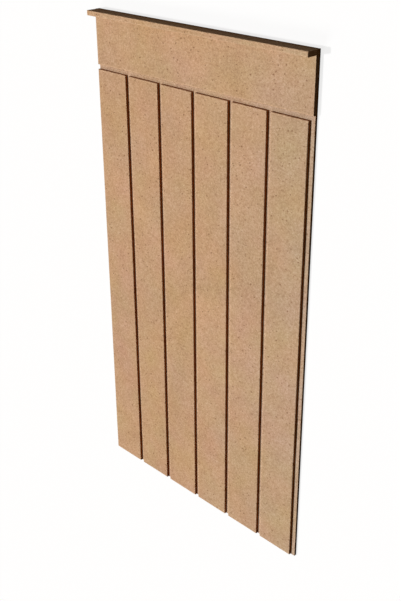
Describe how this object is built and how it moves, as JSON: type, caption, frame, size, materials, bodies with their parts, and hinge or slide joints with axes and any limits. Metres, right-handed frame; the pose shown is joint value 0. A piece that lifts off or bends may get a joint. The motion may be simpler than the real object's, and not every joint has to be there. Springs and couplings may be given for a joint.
{
  "type": "wall panel",
  "caption": "Raw board wall panel with a plank-and-groove face, a plain top rail under a projecting cap strip, and an open rebate with a tongue along one long edge.",
  "frame": {"origin": "middle of the back face, on the level floor that the panel lies on", "axes": "+X across the planks towards the tongue edge, +Y up the wall towards the cap strip, +Z out of the face"},
  "size_m": [0.661, 1.22, 0.037],
  "materials": {
    "board_mdf": "raw sanded fibreboard, unpainted, with darker routed groove walls",
    "cap_mdf": "raw sawn fibreboard strip, unpainted"
  },
  "bodies": {
    "root": {"grooved_board": "board_mdf", "cap_strip": "cap_mdf"}
  },
  "joints": []
}
